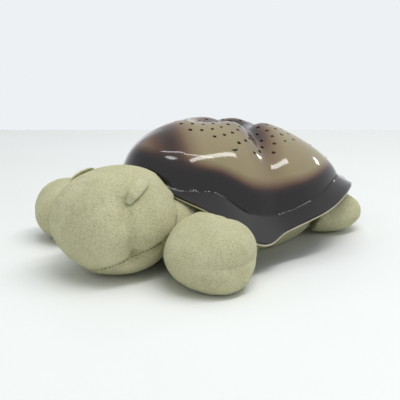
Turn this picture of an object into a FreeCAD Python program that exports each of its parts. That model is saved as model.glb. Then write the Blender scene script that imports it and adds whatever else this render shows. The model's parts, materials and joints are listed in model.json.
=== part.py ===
import FreeCAD, Part
import math
import os

# Plush turtle night light: a star-pierced moulded shell on a stuffed velour body.
# Millimetres. +Z up, head towards -Y, the turtle's left side is +X.
# The shell frame has its origin on the floor under the dome. Every piece is moved
# by ORIGIN_Y at the end, so that the row's origin is under the middle of the box.
V = FreeCAD.Vector
os.makedirs("parts", exist_ok=True)

# Moulded shell, at angles from the tail round to the neck: plan radius, brim height,
# and the width and rise of the skirt between the brim and the dome's foot
SHELL_ANGLES = (0, 25, 55, 90, 110, 121, 140, 160, 180)
SHELL_RADII = (131, 108, 100, 99, 104, 122, 121, 112, 117)
BRIM_HEIGHTS = (31, 37, 42, 34, 26, 26, 48, 56, 67)
SKIRT_WIDTHS = (17, 17, 16, 16, 17, 28, 20, 12, 7)
SKIRT_RISES = (14, 15, 17, 15, 17, 22, 13, 9, 8)
SHELL_WALL = 2.4
SKIRT_BLEND = 2.0
SKIRT_TAIL = 8.0
DOME_HEIGHT = 108.5
DOME_LEAN = 0.15
DOME_POWER = 1.65
DOME_SINK = 4.0
DOME_SPREAD = 3.0
# Grooves between the dome's lobes: along the middle, across, and behind the front lobe
SPINE_DEPTH = 6.5
SPINE_WIDTH = 12.0
SPINE_FRONT = -62.0
SPINE_BACK = 95.0
CROSS_DEPTH = 8.5
CROSS_WIDTH = 12.0
CROSS_Y = 3.0
CROSS_SWEEP = -0.43
FRONT_DEPTH = 2.5
FRONT_WIDTH = 12.0
FRONT_Y = -74.0
FRONT_SWEEP = 0.5

# Star-shaped and round light holes, laid out on a golden-angle spiral over the dome
HOLE_COUNT = 120
HOLE_FIELD_X = 58.0
HOLE_FIELD_Y = 62.0
HOLE_CENTRE_Y = -12.0
HOLE_SMALL_R = 1.15
HOLE_LARGE_R = 1.9
STAR_EVERY = 3

# Base tray and battery box
TRAY_INSET = 30.0
TRAY_BOTTOM = 24.0
TRAY_FLOOR = 2.5
TRAY_RIM_HEIGHT = 6.0
TRAY_RIM_WALL = 2.0
FIT_GAP = 0.3
BOSS_SPOTS = ((46, -52), (38, 48))
BOSS_R = 4.5
SCREW_R = 1.5
SCREW_HEAD_R = 3.0
SCREW_HEAD_H = 2.0
SCREW_LENGTH = 14.0

CELL_R = 5.25
CELL_LENGTH = 44.5
CELL_PITCH = 11.0
CELL_COUNT = 3
BOX_WALL = 1.8
BOX_Y = 8.0
CONTACT_THICKNESS = 0.5
DOOR_THICKNESS = 2.0
DOOR_SCREW_LENGTH = 6.0
DOOR_SCREW_R = 1.25

# Light source on a tower under the dome
TOWER_R = 9.0
TOWER_HEIGHT = 12.0
LED_BOARD_R = 13.0
BOARD_THICKNESS = 1.6
LED_R = 2.5
LED_RING_R = 6.5
LED_BODY_HEIGHT = 6.0

# Push buttons in the tail hump, pressed along a sloping axis
BUTTON_X = (-11.5, 0.0, 11.5)
BUTTON_Y = 106.0
BUTTON_TILT = 46.0
BUTTON_R = 4.0
BUTTON_PROUD = 1.2
BUTTON_LENGTH = 8.0
BUTTON_FLANGE_R = 5.0
BUTTON_FLANGE_H = 1.2
BUTTON_CLEAR = 0.3
BUTTON_TRAVEL = 1.0
STEM_R = 1.7
STEM_CLEAR = 0.08
STEM_LENGTH = 3.4
SWITCH_SIDE = 6.0
SWITCH_HEIGHT = 3.6
CONTROL_BOARD_W = 34.0
CONTROL_BOARD_H = 12.0
BRACKET_W = 28.0
BRACKET_FOOT = 16.0
LEAD_R = 0.9

# Stuffed pieces
BODY_SECTIONS = ((0.0, 42.0), (7.0, 29.0), (16.0, 24.0), (25.0, 23.0), (33.0, 26.0))
NECK_CENTRE = (3.0, -101.0, 37.0)
NECK_HALF = (58.0, 34.0, 25.0)
SOFT_GAP = 0.4
HEAD_CENTRE = (10.0, -143.0, 41.0)
HEAD_HALF = (51.0, 52.0, 41.5)
HEAD_TURN = 6.0
LID_THICK = 2.2
LID_WIDTH = 11.0
LID_TOP = (88.0, 46.0)
LID_FRONT = (53.0, 17.0)
FRONT_FLIPPER = (79.0, -104.0)
FRONT_HALF = (35.0, 49.0, 25.0)
FRONT_SPLAY = 32.0
REAR_FLIPPER = (44.0, 67.0)
REAR_HALF = (25.0, 42.0, 18.5)
REAR_SPLAY = 28.0
FLOOR_CUT = 0.5
TAIL_HALF_W = 9.0
TAIL_LENGTH = 26.0

# Belly flap over the battery door
FLAP_W = 78.0
FLAP_L = 62.0
FLAP_THICK = 1.4
FLAP_LIFT = 1.0
FLAP_GAP = 0.5
HOOK_W = 60.0
HOOK_L = 10.0
HOOK_THICK = 0.8

HALF_TURN = 180.0
FAR = 400.0


def spline_value(angle_deg, values):
    """Even periodic cubic through the values at SHELL_ANGLES, from tail (0) to neck (180)."""
    a = abs((angle_deg + HALF_TURN) % (2 * HALF_TURN) - HALF_TURN)
    knots = SHELL_ANGLES
    last = len(knots) - 1
    i = 0
    while i < last - 1 and a > knots[i + 1]:
        i += 1
    slopes = []
    for j in (i, i + 1):
        if j in (0, last):
            slopes.append(0.0)
        else:
            slopes.append((values[j + 1] - values[j - 1]) / (knots[j + 1] - knots[j - 1]))
    span = knots[i + 1] - knots[i]
    t = (a - knots[i]) / span
    h00 = 2 * t ** 3 - 3 * t ** 2 + 1
    h10 = t ** 3 - 2 * t ** 2 + t
    h01 = 3 * t ** 2 - 2 * t ** 3
    h11 = t ** 3 - t ** 2
    ends = h00 * values[i] + h01 * values[i + 1]
    return ends + span * (h10 * slopes[0] + h11 * slopes[1])


def shell_radius(angle_deg):
    return spline_value(angle_deg, SHELL_RADII)


def limit(value):
    return min(1.0, max(0.0, value))


def groove_depth(x, y):
    """How far the grooves lower the dome at x, y."""
    across = abs(x)
    ends = limit((y - SPINE_FRONT) / 25) * limit((SPINE_BACK - y) / 30)
    depth = SPINE_DEPTH * math.exp(-(x / SPINE_WIDTH) ** 2) * ends
    off = y - CROSS_Y - CROSS_SWEEP * across
    ends = limit((across + 8) / 18) * limit((85 - across) / 50)
    depth += CROSS_DEPTH * math.exp(-(off / CROSS_WIDTH) ** 2) * ends
    off = y - FRONT_Y + FRONT_SWEEP * across
    return depth + FRONT_DEPTH * math.exp(-(off / FRONT_WIDTH) ** 2) * limit((75 - across) / 20)


def shell_height(x, y):
    """Outer height of the moulded shell: a grooved dome that runs smoothly into a sloping skirt."""
    angle = math.degrees(math.atan2(x, y))
    inward = shell_radius(angle) - math.hypot(x, y)
    brim = spline_value(angle, BRIM_HEIGHTS)
    width = spline_value(angle, SKIRT_WIDTHS)
    rise = spline_value(angle, SKIRT_RISES)
    skirt = brim + rise * max(inward / width, -1)
    if inward > width:
        skirt = brim + rise + rise / width * SKIRT_TAIL * (1 - math.exp((width - inward) / SKIRT_TAIL))
    ratio = math.hypot(x, y) / (shell_radius(angle) - width + DOME_SPREAD)
    foot = brim + rise - DOME_SINK
    if ratio < 1:
        swell = DOME_HEIGHT - DOME_LEAN * y - foot
        dome = foot + swell * (1 - ratio ** DOME_POWER) ** (1 / DOME_POWER)
    else:
        dome = foot - 40 * (ratio - 1)
    dome -= groove_depth(x, y)
    top = max(skirt, dome)
    low = min(skirt, dome)
    return top + SKIRT_BLEND * math.log(1 + math.exp((low - top) / SKIRT_BLEND))


def shell_normal(x, y):
    """Outward unit normal of the shell's outer face."""
    step = 0.5
    gx = (shell_height(x + step, y) - shell_height(x - step, y)) / (2 * step)
    gy = (shell_height(x, y + step) - shell_height(x, y - step)) / (2 * step)
    normal = V(-gx, -gy, 1)
    normal.normalize()
    return normal


# Solids that several pieces are made from

GRID_STEP = 5.0
GRID_X = 26
GRID_FRONT = 26
GRID_BACK = 28


def height_solid(drop):
    """Everything under the shell's face, lowered by drop measured square to the face."""
    rows = []
    for i in range(-GRID_X, GRID_X + 1):
        row = []
        for j in range(-GRID_FRONT, GRID_BACK + 1):
            x = i * GRID_STEP
            y = j * GRID_STEP
            steep = 1 / max(shell_normal(x, y).z, 0.45)
            row.append(V(x, y, shell_height(x, y) - drop * steep))
        rows.append(row)
    surface = Part.BSplineSurface()
    surface.interpolate(rows)
    return surface.toShape().extrude(V(0, 0, -FAR))


def outline_wire(inset, z):
    """The shell's plan, drawn in by inset, as a closed curve at height z."""
    points = []
    count = 48
    for i in range(count):
        angle = 2 * HALF_TURN * i / count
        r = shell_radius(angle) - inset
        points.append(V(r * math.sin(math.radians(angle)), r * math.cos(math.radians(angle)), z))
    curve = Part.BSplineCurve()
    curve.interpolate(Points=points, PeriodicFlag=True)
    return Part.Wire([curve.toShape()])


def outline_prism(inset, low, high):
    return Part.Face(outline_wire(inset, low)).extrude(V(0, 0, high - low))


def block(x0, x1, y0, y1, z0, z1):
    return Part.makeBox(x1 - x0, y1 - y0, z1 - z0, V(x0, y0, z0))


def rod(r, start, end):
    axis = end - start
    return Part.makeCylinder(r, axis.Length, start, axis)


def largest(shape):
    return max(shape.Solids, key=lambda s: s.Volume)


def oval_ring(centre, half_w, half_h, across, up):
    """A closed oval of four quarter arcs about centre."""
    def spot(turn):
        c = math.cos(math.radians(turn))
        s = math.sin(math.radians(turn))
        return centre + across * (half_w * c) + up * (half_h * s)
    edges = []
    for quarter in range(4):
        turn = quarter * 90
        edges.append(Part.Arc(spot(turn), spot(turn + 45), spot(turn + 90)).toShape())
    return Part.Wire(edges)


def stuffed_pad(centre, half, splay, swell):
    """A stuffed pad: oval rings along its length, fuller where swell says, cut flat at the floor."""
    along = V(math.sin(math.radians(splay)), -math.cos(math.radians(splay)), 0)
    across = V(math.cos(math.radians(splay)), math.sin(math.radians(splay)), 0)
    rings = []
    for place, size in swell:
        middle = centre + along * (place * half[1])
        rings.append(oval_ring(middle, half[0] * size, half[2] * size, across, V(0, 0, 1)))
    return Part.makeLoft(rings, True, False)


ROUND_SWELL = ((-1.0, 0.12), (-0.93, 0.40), (-0.72, 0.74), (-0.38, 0.94), (0.0, 1.0),
               (0.38, 0.94), (0.72, 0.74), (0.93, 0.40), (1.0, 0.12))
FLIPPER_SWELL = ((-1.0, 0.20), (-0.90, 0.46), (-0.60, 0.78), (-0.10, 0.96), (0.30, 1.0),
                 (0.66, 0.84), (0.92, 0.46), (1.0, 0.16))


def tangent_tube(points, r):
    """A round lead along straight runs joined by tangent arcs."""
    edges = []
    last = points[0]
    for before, corner, after in zip(points, points[1:], points[2:]):
        go = corner - before
        come = after - corner
        short = 0.45 * min(go.Length, come.Length)
        go.normalize()
        come.normalize()
        enter = corner - go * short
        leave = corner + come * short
        half = go.getAngle(come) / 2
        radius = short / math.tan(half)
        inner = come - go
        inner.normalize()
        middle = corner + inner * (radius / math.cos(half) - radius)
        edges.append(Part.LineSegment(last, enter).toShape())
        edges.append(Part.Arc(enter, middle, leave).toShape())
        last = leave
    edges.append(Part.LineSegment(last, points[-1]).toShape())
    path = Part.Wire(edges)
    start = points[1] - points[0]
    ring = Part.Wire([Part.makeCircle(r, points[0], start)])
    return path.makePipeShell([ring], True, False)


nodes = {}

# Star shell with its screw bosses, light holes and button holes
under_outer = height_solid(0.0).common(outline_prism(0.0, -20, 160))
under_inner = height_solid(SHELL_WALL)
tray_top = TRAY_BOTTOM + TRAY_FLOOR
star_shell = under_outer.cut(under_inner)
bosses = []
for bx, by in BOSS_SPOTS:
    for side in (1, -1):
        bosses.append(rod(BOSS_R, V(side * bx, by, tray_top), V(side * bx, by, 120)))
boss_solid = Part.makeCompound(bosses).common(under_outer)
star_shell = star_shell.fuse(list(boss_solid.Solids))
pilots = []
for bx, by in BOSS_SPOTS:
    for side in (1, -1):
        pilots.append(rod(SCREW_R - 0.05, V(side * bx, by, tray_top - 1),
                          V(side * bx, by, TRAY_BOTTOM + SCREW_LENGTH + 1)))
star_shell = star_shell.cut(Part.makeCompound(pilots))

GOLDEN_ANGLE = 137.508
light = V(0, HOLE_CENTRE_Y, TRAY_BOTTOM + TOWER_HEIGHT)


def near_boss(x, y):
    return any(math.hypot(abs(x) - bx, y - by) < BOSS_R + 3.0 for bx, by in BOSS_SPOTS)


def star_prism(at, direction, r, spin):
    """A five-pointed prism through the wall."""
    side = direction.cross(V(0, 1, 0))
    side.normalize()
    other = direction.cross(side)
    corners = []
    for k in range(10):
        turn = math.radians(spin + 36 * k)
        reach = r if k % 2 == 0 else 0.5 * r
        across = side * (reach * math.cos(turn)) + other * (reach * math.sin(turn))
        corners.append(at - direction * 6 + across)
    corners.append(corners[0])
    return Part.Face(Part.makePolygon(corners)).extrude(direction * 12)


holes = []
for n in range(HOLE_COUNT):
    share = math.sqrt((n + 0.5) / HOLE_COUNT)
    turn = math.radians(GOLDEN_ANGLE * n)
    hx = HOLE_FIELD_X * share * math.sin(turn)
    hy = HOLE_CENTRE_Y + HOLE_FIELD_Y * share * math.cos(turn)
    if near_boss(hx, hy):
        continue
    at = V(hx, hy, shell_height(hx, hy))
    aim = at - light
    aim.normalize()
    if n % STAR_EVERY == 0:
        holes.append(star_prism(at, aim, HOLE_LARGE_R, 31 * n))
    else:
        r = HOLE_SMALL_R + 0.12 * (n % 4)
        holes.append(rod(r, at - aim * 6, at + aim * 6))
star_shell = star_shell.cut(Part.makeCompound(holes))

# Buttons, their stems and switches, on one sloping axis direction
press = V(0, math.sin(math.radians(BUTTON_TILT)), math.cos(math.radians(BUTTON_TILT)))
slope_up = V(0, -press.z, press.y)
face_z = max(shell_height(x, BUTTON_Y) for x in BUTTON_X)
button_row = V(0, BUTTON_Y, face_z)
back = BUTTON_PROUD - BUTTON_LENGTH
holes = []
for i, bx in enumerate(BUTTON_X):
    spot = button_row + V(bx, 0, 0)
    holes.append(rod(BUTTON_R + BUTTON_CLEAR, spot - press * 5, spot + press * 8))
    holes.append(rod(BUTTON_FLANGE_R + 0.5, spot + press * (back - 3), spot - press * 3.6))
star_shell = star_shell.cut(Part.makeCompound(holes))
nodes["star_shell"] = star_shell

BUTTON_NAMES = ("button_green", "button_blue", "button_amber")
switch_back = back - BUTTON_TRAVEL - 0.4 - SWITCH_HEIGHT
cases = []
for name, bx in zip(BUTTON_NAMES, BUTTON_X):
    spot = button_row + V(bx, 0, 0)
    settle = (shell_height(bx, BUTTON_Y) - face_z) * press.z
    cap = rod(BUTTON_R, spot + press * back, spot + press * (BUTTON_PROUD + settle))
    rim = max(cap.Edges, key=lambda e: e.CenterOfMass.dot(press))
    cap = cap.makeFillet(0.9, [rim])
    flange = rod(BUTTON_FLANGE_R, spot + press * back, spot + press * (back + BUTTON_FLANGE_H))
    nodes[name] = cap.fuse(flange).removeSplitter()
    stem_end = back - STEM_LENGTH
    nodes[name.replace("button", "switch_stem")] = rod(STEM_R, spot + press * stem_end, spot + press * back)
    case_top = back - BUTTON_TRAVEL - 0.4
    case = block(-SWITCH_SIDE / 2, SWITCH_SIDE / 2, -SWITCH_SIDE / 2, SWITCH_SIDE / 2, 0, SWITCH_HEIGHT)
    well = rod(STEM_R + STEM_CLEAR, V(0, 0, 0.5), V(0, 0, SWITCH_HEIGHT + 1))
    case = case.cut(well)
    case.Placement = FreeCAD.Placement(spot + press * (case_top - SWITCH_HEIGHT),
                                       FreeCAD.Rotation(V(0, 0, 1), press))
    cases.append(case)
nodes["switch_cases"] = Part.makeCompound(cases)


def sloping_plate(width, height, low, high, drop):
    """A plate square to the button axis, between two depths, its top edge drop above the row."""
    corners = []
    for sx, sy in ((-1, -1), (1, -1), (1, 1), (-1, 1)):
        across = V(sx * width / 2, 0, 0)
        along = slope_up * (sy * height / 2 + drop)
        corners.append(button_row + across + along + press * low)
    corners.append(corners[0])
    return Part.Face(Part.makePolygon(corners)).extrude(press * (high - low))


board_low = switch_back - BOARD_THICKNESS
nodes["control_board"] = sloping_plate(CONTROL_BOARD_W, CONTROL_BOARD_H, board_low, switch_back, 0.0)

# Base tray, its rim and battery box, and the wedge that carries the control board
tray = outline_prism(TRAY_INSET, TRAY_BOTTOM, tray_top)
rim_top = tray_top + TRAY_RIM_HEIGHT
rim = outline_prism(TRAY_INSET, TRAY_BOTTOM, rim_top).cut(
    outline_prism(TRAY_INSET + TRAY_RIM_WALL, TRAY_BOTTOM - 1, rim_top + 1))
half_x = CELL_LENGTH / 2 + 1.0 + CONTACT_THICKNESS
half_y = CELL_COUNT * CELL_PITCH / 2 + 0.5
well_floor = TRAY_BOTTOM - 2 * CELL_R - 0.5
box_out = block(-half_x - BOX_WALL, half_x + BOX_WALL, BOX_Y - half_y - BOX_WALL - 7,
                BOX_Y + half_y + BOX_WALL, well_floor - DOOR_THICKNESS, TRAY_BOTTOM)
box_in = block(-half_x, half_x, BOX_Y - half_y, BOX_Y + half_y, well_floor - 9, TRAY_BOTTOM)
door_hole = block(-half_x - 0.9, half_x + 0.9, BOX_Y - half_y - 7, BOX_Y + half_y + 0.9,
                  well_floor - 9, well_floor)
tray = tray.fuse([rim, box_out]).cut(Part.makeCompound([box_in])).cut(door_hole)
door_screw_y = BOX_Y - half_y - BOX_WALL - 2.6
clears = [rod(DOOR_SCREW_R - 0.05, V(0, door_screw_y, 0), V(0, door_screw_y,
                                                            well_floor + DOOR_SCREW_LENGTH))]
for bx, by in BOSS_SPOTS:
    for side in (1, -1):
        clears.append(rod(SCREW_R + 0.2, V(side * bx, by, 0), V(side * bx, by, 60)))
tray = tray.cut(Part.makeCompound(clears))
wedge_back = board_low
wedge_points = [
    button_row + press * wedge_back + slope_up * (CONTROL_BOARD_H / 2),
    button_row + press * wedge_back - slope_up * (CONTROL_BOARD_H / 2),
]
wedge_top = wedge_points[0]
wedge_foot = wedge_points[1]
profile = [V(-BRACKET_W / 2, wedge_top.y, wedge_top.z), V(-BRACKET_W / 2, wedge_foot.y, wedge_foot.z),
           V(-BRACKET_W / 2, wedge_foot.y, tray_top), V(-BRACKET_W / 2,
                                                        wedge_foot.y - BRACKET_FOOT, tray_top),
           V(-BRACKET_W / 2, wedge_foot.y - BRACKET_FOOT, tray_top + 2.4)]
profile.append(profile[0])
wedge = Part.Face(Part.makePolygon(profile)).extrude(V(BRACKET_W, 0, 0))
inside_rim = outline_prism(TRAY_INSET + TRAY_RIM_WALL + FIT_GAP, TRAY_BOTTOM, 160)
nodes["board_bracket"] = wedge.common(inside_rim)
nodes["base_tray"] = tray.removeSplitter()

# Cells, contacts, door and its screw
plus_plates = []
cell_z = well_floor + CELL_R + 0.25
for i in range(CELL_COUNT):
    cy = BOX_Y + (i - (CELL_COUNT - 1) / 2) * CELL_PITCH
    cell = rod(CELL_R, V(-CELL_LENGTH / 2, cy, cell_z), V(CELL_LENGTH / 2 - 1.0, cy, cell_z))
    nub = rod(1.9, V(CELL_LENGTH / 2 - 1.0, cy, cell_z), V(CELL_LENGTH / 2, cy, cell_z))
    nodes["cell_%d" % (i + 1)] = cell.fuse(nub)
    for x0 in (-half_x, half_x - CONTACT_THICKNESS):
        plus_plates.append(block(x0, x0 + CONTACT_THICKNESS, cy - 4, cy + 4, cell_z - 4, cell_z + 4))
    springy = Part.makeCone(3.6, 2.0, 1.0, V(-half_x + CONTACT_THICKNESS, cy, cell_z), V(1, 0, 0))
    plus_plates.append(springy)
    plus_plates.append(block(CELL_LENGTH / 2, half_x - CONTACT_THICKNESS, cy - 1.5, cy + 1.5,
                             cell_z - 1.5, cell_z + 1.5))
nodes["battery_contacts"] = Part.makeCompound(plus_plates)
door = block(-half_x - 0.9 + FIT_GAP, half_x + 0.9 - FIT_GAP, BOX_Y - half_y - 7 + FIT_GAP,
             BOX_Y + half_y + 0.9 - FIT_GAP, well_floor - DOOR_THICKNESS, well_floor)
door = door.cut(rod(DOOR_SCREW_R + 0.2, V(0, door_screw_y, 0), V(0, door_screw_y, 40)))
nodes["battery_door"] = door


def screw(x, y, seat, r, length, head_r, head_h):
    shank = rod(r, V(x, y, seat), V(x, y, seat + length))
    head = rod(head_r, V(x, y, seat - head_h), V(x, y, seat))
    slot = block(x - head_r, x + head_r, y - 0.3, y + 0.3, seat - head_h - 1, seat - head_h + 0.7)
    cross = block(x - 0.3, x + 0.3, y - head_r * 0.7, y + head_r * 0.7, seat - head_h - 1,
                  seat - head_h + 0.7)
    return head.fuse(shank).cut(slot).cut(cross)


nodes["door_screw"] = screw(0, door_screw_y, well_floor - DOOR_THICKNESS, DOOR_SCREW_R - 0.05,
                            DOOR_SCREW_LENGTH, 2.4, 1.2)
screws = []
for bx, by in BOSS_SPOTS:
    for side in (1, -1):
        screws.append(screw(side * bx, by, TRAY_BOTTOM, SCREW_R - 0.05, SCREW_LENGTH, SCREW_HEAD_R,
                            SCREW_HEAD_H))
nodes["shell_screws"] = Part.makeCompound(screws)

# Light tower, board and three lamps
tower_y = HOLE_CENTRE_Y
tower_top = tray_top + TOWER_HEIGHT
nodes["led_tower"] = Part.makeCone(TOWER_R + 4, TOWER_R, TOWER_HEIGHT, V(0, tower_y, tray_top))
nodes["led_board"] = rod(LED_BOARD_R, V(0, tower_y, tower_top), V(0, tower_y, tower_top + BOARD_THICKNESS))
for k, name in enumerate(("led_blue", "led_green", "led_amber")):
    turn = math.radians(120 * k)
    foot = V(LED_RING_R * math.sin(turn), tower_y + LED_RING_R * math.cos(turn),
             tower_top + BOARD_THICKNESS)
    flange = rod(LED_R + 0.4, foot, foot + V(0, 0, 1))
    barrel = rod(LED_R, foot, foot + V(0, 0, LED_BODY_HEIGHT))
    dome = Part.makeSphere(LED_R, foot + V(0, 0, LED_BODY_HEIGHT))
    nodes[name] = flange.fuse([barrel, dome])

# Leads held inside the shell
lead_z = tray_top + 1.0
led_lead_points = [V(0, tower_y + LED_BOARD_R - 3, tower_top - 1.0),
                   V(0, tower_y + 26, tower_top - 1.0),
                   V(0, tower_y + 42, lead_z + 0.2),
                   V(0, wedge_foot.y - BRACKET_FOOT, lead_z + 0.2)]
nodes["led_leads"] = tangent_tube(led_lead_points, LEAD_R)
battery_lead_points = [V(20, BOX_Y + half_y + 6, lead_z + 0.2),
                       V(20, BOX_Y + half_y + 26, lead_z + 0.2),
                       V(12, BOX_Y + half_y + 42, lead_z + 0.2),
                       V(12, wedge_foot.y - BRACKET_FOOT, lead_z + 0.2)]
nodes["battery_leads"] = tangent_tube(battery_lead_points, LEAD_R)

# Stuffed body with its pocket for the light unit and its belly opening
body = Part.makeLoft([outline_wire(inset, z) for z, inset in BODY_SECTIONS], True, False)
pocket = outline_prism(TRAY_INSET - FIT_GAP, TRAY_BOTTOM, 100)
box_space = block(-half_x - BOX_WALL - FIT_GAP, half_x + BOX_WALL + FIT_GAP,
                  BOX_Y - half_y - BOX_WALL - 7 - FIT_GAP, BOX_Y + half_y + BOX_WALL + FIT_GAP, -5, 40)
flap_y0 = BOX_Y - 3.5 - FLAP_L / 2
flap_y1 = BOX_Y - 3.5 + FLAP_L / 2
recess_top = FLAP_LIFT + FLAP_THICK + HOOK_THICK * 2 + 0.1
recess = block(-FLAP_W / 2 - FLAP_GAP, FLAP_W / 2 + FLAP_GAP, flap_y0 - FLAP_GAP,
               flap_y1 + FLAP_THICK / 2 + FLAP_GAP, -5, recess_top)
screw_rooms = []
for bx, by in BOSS_SPOTS:
    for side in (1, -1):
        screw_rooms.append(rod(SCREW_HEAD_R + FIT_GAP, V(side * bx, by,
                                                         TRAY_BOTTOM - SCREW_HEAD_H - FIT_GAP),
                               V(side * bx, by, TRAY_BOTTOM + 1)))
body = body.cut(pocket).cut(box_space).cut(recess).cut(Part.makeCompound(screw_rooms))
nodes["plush_body"] = body

# Belly flap that folds on its round rear seam, with hook-and-loop strips at its front edge
flap_bottom = FLAP_LIFT
hinge_z = flap_bottom + FLAP_THICK / 2
seam = rod(FLAP_THICK / 2, V(-FLAP_W / 2, flap_y1, hinge_z), V(FLAP_W / 2, flap_y1, hinge_z))
flap = block(-FLAP_W / 2, FLAP_W / 2, flap_y0, flap_y1, flap_bottom, flap_bottom + FLAP_THICK)
nodes["belly_flap"] = flap.fuse(seam).removeSplitter()
strip_y0 = flap_y0 + 1.0
nodes["hook_strip"] = block(-HOOK_W / 2, HOOK_W / 2, strip_y0, strip_y0 + HOOK_L - 3,
                            flap_bottom + FLAP_THICK, flap_bottom + FLAP_THICK + HOOK_THICK)
nodes["loop_strip"] = block(-HOOK_W / 2, HOOK_W / 2, strip_y0, strip_y0 + HOOK_L - 3,
                            recess_top - HOOK_THICK, recess_top)

# Head, with its sewn eyelids
head_turned = V(math.sin(math.radians(HEAD_TURN)), -math.cos(math.radians(HEAD_TURN)), 0)
head_mid = V(*HEAD_CENTRE)
head = stuffed_pad(head_mid, HEAD_HALF, HEAD_TURN, ROUND_SWELL)
floor_block = block(-FAR, FAR, -FAR, FAR, -FAR, 0)
head_bigger = stuffed_pad(head_mid, [h + LID_THICK for h in HEAD_HALF], HEAD_TURN, ROUND_SWELL)
head_left = V(math.cos(math.radians(HEAD_TURN)), math.sin(math.radians(HEAD_TURN)), 0)


def head_direction(turn_deg, up_deg):
    """A direction from the head's middle: turned from straight ahead to its left, then raised."""
    turn = math.radians(turn_deg)
    up = math.radians(up_deg)
    flat = head_left * math.sin(turn) + head_turned * math.cos(turn)
    return flat * math.cos(up) + V(0, 0, math.sin(up))


for side, name in ((1, "eyelid_left"), (-1, "eyelid_right")):
    top_way = head_direction(side * LID_TOP[0], LID_TOP[1])
    front_way = head_direction(side * LID_FRONT[0], LID_FRONT[1])
    middle_way = top_way + front_way
    middle_way.normalize()
    across_way = top_way.cross(front_way)
    across_way.normalize()
    span = (top_way - front_way).Length * max(HEAD_HALF)
    slab = block(-LID_WIDTH / 2, LID_WIDTH / 2, -span / 2, span / 2, 0, 90)
    slab.Placement = FreeCAD.Placement(head_mid, FreeCAD.Rotation(across_way, top_way - front_way,
                                                                  middle_way, "ZXY"))
    nodes[name] = largest(head_bigger.cut(head).common(slab))
shell_room = height_solid(-SOFT_GAP).cut(height_solid(SHELL_WALL + SOFT_GAP))
shell_room = shell_room.common(outline_prism(-SOFT_GAP, -20, 160))
unit_room = outline_prism(TRAY_INSET - FIT_GAP, TRAY_BOTTOM - 1, 160)

neck = stuffed_pad(V(*NECK_CENTRE), NECK_HALF, HEAD_TURN, ROUND_SWELL)
neck = largest(neck.cut(floor_block).cut(body).cut(unit_room).cut(shell_room))
nodes["neck"] = neck
head = head.cut(floor_block).cut(body).cut(neck).cut(unit_room).cut(shell_room)
nodes["head"] = largest(head)

# Flippers and tail
for side, word in ((1, "left"), (-1, "right")):
    for spot, half, splay, name in ((FRONT_FLIPPER, FRONT_HALF, FRONT_SPLAY, "front_flipper_"),
                                    (REAR_FLIPPER, REAR_HALF, HALF_TURN - REAR_SPLAY, "rear_flipper_")):
        middle = V(side * spot[0], spot[1], half[2] - FLOOR_CUT)
        pad = stuffed_pad(middle, half, side * splay, FLIPPER_SWELL)
        pad = pad.cut(floor_block).cut(body).cut(neck).cut(nodes["head"]).cut(unit_room).cut(shell_room)
        nodes[name + word] = largest(pad)
tail_mid = V(0, SHELL_RADII[0] - 20, 11)
tail = stuffed_pad(tail_mid, (TAIL_HALF_W, TAIL_LENGTH / 2, 7.0), HALF_TURN, FLIPPER_SWELL).cut(body)
nodes["tail"] = largest(tail)

# Write every node, with the row's origin under the middle of the box
front = nodes["head"].optimalBoundingBox(False).YMin
rear = nodes["star_shell"].optimalBoundingBox(False).YMax
ORIGIN_Y = -(front + rear) / 2
print("front", front, "rear", rear, "origin shift", ORIGIN_Y)
print("press axis", press, "button row", button_row + V(0, ORIGIN_Y, 0))
print("flap hinge y", flap_y1 + ORIGIN_Y, "z", hinge_z)
for name, shape in nodes.items():
    placed = shape.copy()
    placed.translate(V(0, ORIGIN_Y, 0))
    solids = placed.Solids
    keep = solids[0] if len(solids) == 1 else Part.makeCompound(solids)
    keep.exportStep("parts/%s.step" % name)
    print("%-22s solids %d volume %.0f valid %s" % (name, len(solids), keep.Volume, keep.isValid()))
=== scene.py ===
import json
import math

import bmesh
import bpy
import numpy as np
from mathutils import Matrix, Vector


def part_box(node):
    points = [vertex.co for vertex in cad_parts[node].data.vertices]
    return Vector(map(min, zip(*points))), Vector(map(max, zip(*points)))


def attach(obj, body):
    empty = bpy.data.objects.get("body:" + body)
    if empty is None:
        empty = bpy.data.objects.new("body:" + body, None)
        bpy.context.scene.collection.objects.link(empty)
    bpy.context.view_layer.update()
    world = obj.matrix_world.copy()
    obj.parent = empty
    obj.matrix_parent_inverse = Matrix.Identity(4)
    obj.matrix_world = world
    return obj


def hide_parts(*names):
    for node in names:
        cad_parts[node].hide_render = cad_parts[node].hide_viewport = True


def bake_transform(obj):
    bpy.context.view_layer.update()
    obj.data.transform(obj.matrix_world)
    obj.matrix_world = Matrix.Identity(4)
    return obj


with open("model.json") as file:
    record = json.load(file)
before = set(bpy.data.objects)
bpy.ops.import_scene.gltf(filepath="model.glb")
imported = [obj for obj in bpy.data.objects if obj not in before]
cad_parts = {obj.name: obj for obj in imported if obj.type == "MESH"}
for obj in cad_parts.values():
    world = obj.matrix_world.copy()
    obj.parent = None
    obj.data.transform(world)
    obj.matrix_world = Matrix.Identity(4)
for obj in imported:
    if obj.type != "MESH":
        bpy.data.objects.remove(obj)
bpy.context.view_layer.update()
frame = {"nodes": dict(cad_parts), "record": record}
scene = bpy.context.scene
MM = 0.001
scene.view_settings.view_transform = "Standard"

# The shell frame's origin lies under the dome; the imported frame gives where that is
TAIL_RADIUS = 131.0 * MM
SHELL_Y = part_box("star_shell")[1].y - TAIL_RADIUS

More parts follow.
